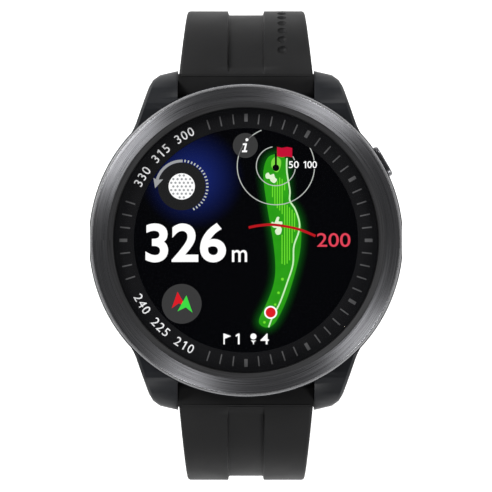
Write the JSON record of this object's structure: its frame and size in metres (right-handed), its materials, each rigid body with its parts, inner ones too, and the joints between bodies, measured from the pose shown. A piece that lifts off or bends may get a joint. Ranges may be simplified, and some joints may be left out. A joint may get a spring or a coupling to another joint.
{
  "type": "golf gps watch",
  "caption": "Golf GPS wristwatch with a round display under glass, a brushed dark bezel, one push button and a rubber pin-buckle strap with quick-release bars.",
  "frame": {"origin": "centre of the flat face of the case back", "axes": "+Z out of the dial, +Y towards 12 o'clock, +X towards 3 o'clock"},
  "size_m": [0.0464, 0.0723, 0.0658],
  "materials": {
    "case_black": "satin",
    "bezel_metal": "satin",
    "crystal": "gloss",
    "seal_black": "matte",
    "dial_ink": "gloss",
    "clear_film": "gloss",
    "display": "gloss",
    "back_metal": "satin",
    "steel": "satin",
    "inner_plastic": "matte",
    "gold": "gloss",
    "board_green": "satin",
    "antenna_ceramic": "matte",
    "battery_foil": "satin",
    "adhesive": "matte",
    "flex_film": "satin",
    "button_metal": "satin",
    "strap_rubber": "matte",
    "buckle_metal": "satin"
  },
  "bodies": {
    "case": {"mid_case": "case_black", "bezel_ring": "bezel_metal", "cover_glass": "crystal", "glass_gasket": "seal_black", "dial_ring": "dial_ink", "optical_film": "clear_film", "display_panel": "display", "bezel_gasket": "seal_black", "back_cover": "back_metal", "back_gasket": "seal_black", "back_screws": "steel", "contact_carrier": "inner_plastic", "charging_contacts": "gold", "carrier_frame": "inner_plastic", "main_board": "board_green", "board_screws": "steel", "shield_can": "steel", "gps_antenna": "antenna_ceramic", "battery": "battery_foil", "battery_pad": "adhesive", "vibration_motor": "steel", "alert_buzzer": "steel", "display_flex": "flex_film", "charging_flex": "flex_film", "button_sleeve": "steel", "button_oring": "seal_black", "button_switch": "inner_plastic", "button_spring": "steel"},
    "button": {"button_cap": "button_metal", "button_stem": "steel", "button_clip": "steel"},
    "upper_half": {"upper_strap": "strap_rubber", "fixed_keeper": "strap_rubber", "upper_bar_tube": "steel", "upper_bar_fixed_tip": "steel", "upper_bar_spring": "steel"},
    "upper_release": {"upper_bar_lever": "steel"},
    "lower_half": {"lower_strap": "strap_rubber", "lower_bar_tube": "steel", "lower_bar_fixed_tip": "steel", "lower_bar_spring": "steel"},
    "lower_release": {"lower_bar_lever": "steel"},
    "loose_keeper": {"sliding_keeper": "strap_rubber"},
    "buckle": {"buckle_frame": "buckle_metal", "buckle_bar": "steel"},
    "tang": {"buckle_tang": "buckle_metal"}
  },
  "joints": [
    {"name": "button_press", "type": "slide", "parent": "case", "child": "button", "axis": [-0.866, -0.5, 0], "range_m": [0, 0.0005], "stiffness_N_per_m": 1200, "springref_m": -0.0003, "deforming": ["button_spring"]},
    {"name": "upper_strap_swing", "type": "hinge", "parent": "case", "child": "upper_half", "pos_m": [0, 0.0226, 0.0039], "axis": [1, 0, 0], "range_deg": [-15, 25]},
    {"name": "lower_strap_swing", "type": "hinge", "parent": "case", "child": "lower_half", "pos_m": [0, -0.0226, 0.0039], "axis": [-1, 0, 0], "range_deg": [-12, 25]},
    {"name": "upper_bar_release", "type": "slide", "parent": "upper_half", "child": "upper_release", "axis": [-1, 0, 0], "range_m": [0, 0.0013], "stiffness_N_per_m": 500, "springref_m": -0.001, "deforming": ["upper_bar_spring"]},
    {"name": "lower_bar_release", "type": "slide", "parent": "lower_half", "child": "lower_release", "axis": [1, 0, 0], "range_m": [0, 0.0013], "stiffness_N_per_m": 500, "springref_m": -0.001, "deforming": ["lower_bar_spring"]},
    {"name": "keeper_slide", "type": "slide", "parent": "upper_half", "child": "loose_keeper", "axis": [0, 1, 0], "range_m": [-0.0025, 0.005]},
    {"name": "buckle_swing", "type": "hinge", "parent": "upper_half", "child": "buckle", "pos_m": [0, -0.0122, -0.03], "axis": [1, 0, 0], "range_deg": [-60, 20]},
    {"name": "tang_swing", "type": "hinge", "parent": "buckle", "child": "tang", "pos_m": [0, -0.0122, -0.03], "axis": [1, 0, 0], "range_deg": [0, 95]}
  ]
}
